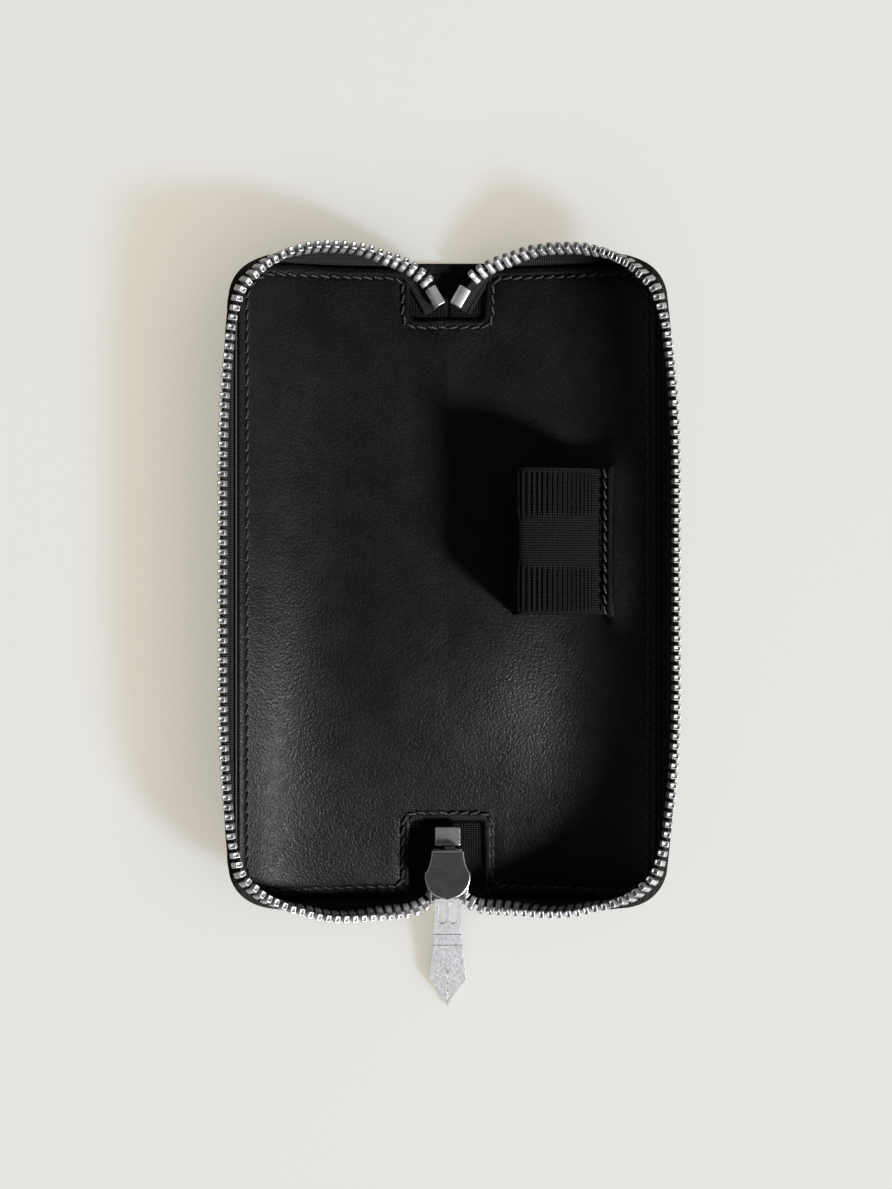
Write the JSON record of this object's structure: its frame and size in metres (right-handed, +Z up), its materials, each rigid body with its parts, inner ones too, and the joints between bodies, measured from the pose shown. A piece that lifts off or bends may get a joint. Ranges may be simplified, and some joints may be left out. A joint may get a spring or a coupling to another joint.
{
  "type": "fountain pen case",
  "caption": "Zip-round leather case for one fountain pen, opened flat like a book, with an elastic pen loop, a metal zip and a nib-shaped pull.",
  "frame": {"origin": "middle of the spine's flat outer face, which rests on the table", "axes": "+Y along the spine towards the zip's top stops, +Z up out of the open case, +X towards the side with the pen loop"},
  "size_m": [0.1104, 0.1858, 0.0279],
  "materials": {
    "outer_leather": "black grained leather, satin",
    "lining_leather": "black pebbled lining leather, satin",
    "board": "plain stiffening board",
    "zip_tape": "black woven tape",
    "elastic": "black ribbed elastic",
    "teeth": "polished nickel teeth",
    "stops": "brushed nickel",
    "slider": "nickel, satin",
    "cap": "dark nickel face with a bright bevelled rim",
    "pull": "satin nickel",
    "spring": "spring bronze",
    "thread": "black waxed sewing thread"
  },
  "bodies": {
    "spine": {"spine_cover": "outer_leather", "spine_stiffener": "board", "spine_lining": "lining_leather", "tape_tails_top": "zip_tape", "tape_tails_bottom": "zip_tape", "top_stop_left": "stops", "top_stop_right": "stops", "top_end_teeth": "teeth", "bottom_stop": "stops", "bottom_end_teeth": "teeth"},
    "left_side": {"left_cover": "outer_leather", "left_stiffener": "board", "left_lining": "lining_leather", "left_zip_tape": "zip_tape", "left_zip_teeth": "teeth"},
    "right_side": {"right_cover": "outer_leather", "right_stiffener": "board", "right_lining": "lining_leather", "right_zip_tape": "zip_tape", "right_zip_teeth": "teeth", "pen_loop": "elastic", "loop_welt": "lining_leather"},
    "slider": {"slider_body": "slider", "slider_cap": "cap", "lock_spring": "spring", "pull_pin": "pull"},
    "puller": {"pull_tab": "pull"}
  },
  "joints": [
    {"name": "left_fold", "type": "hinge", "parent": "spine", "child": "left_side", "pos_m": [-0.009, 0, 0.00135], "axis": [0, 1, 0], "range_deg": [-10, 66.5]},
    {"name": "right_fold", "type": "hinge", "parent": "spine", "child": "right_side", "pos_m": [0.009, 0, 0.00135], "axis": [0, -1, 0], "range_deg": [-10, 66.5]},
    {"name": "slider_travel", "type": "slide", "parent": "spine", "child": "slider", "axis": [0, -1, 0], "range_m": [0, 0.004]},
    {"name": "puller_swing", "type": "hinge", "parent": "slider", "child": "puller", "pos_m": [0, -0.0776, 0.0077], "axis": [-1, 0, 0], "range_deg": [0, 70]}
  ]
}
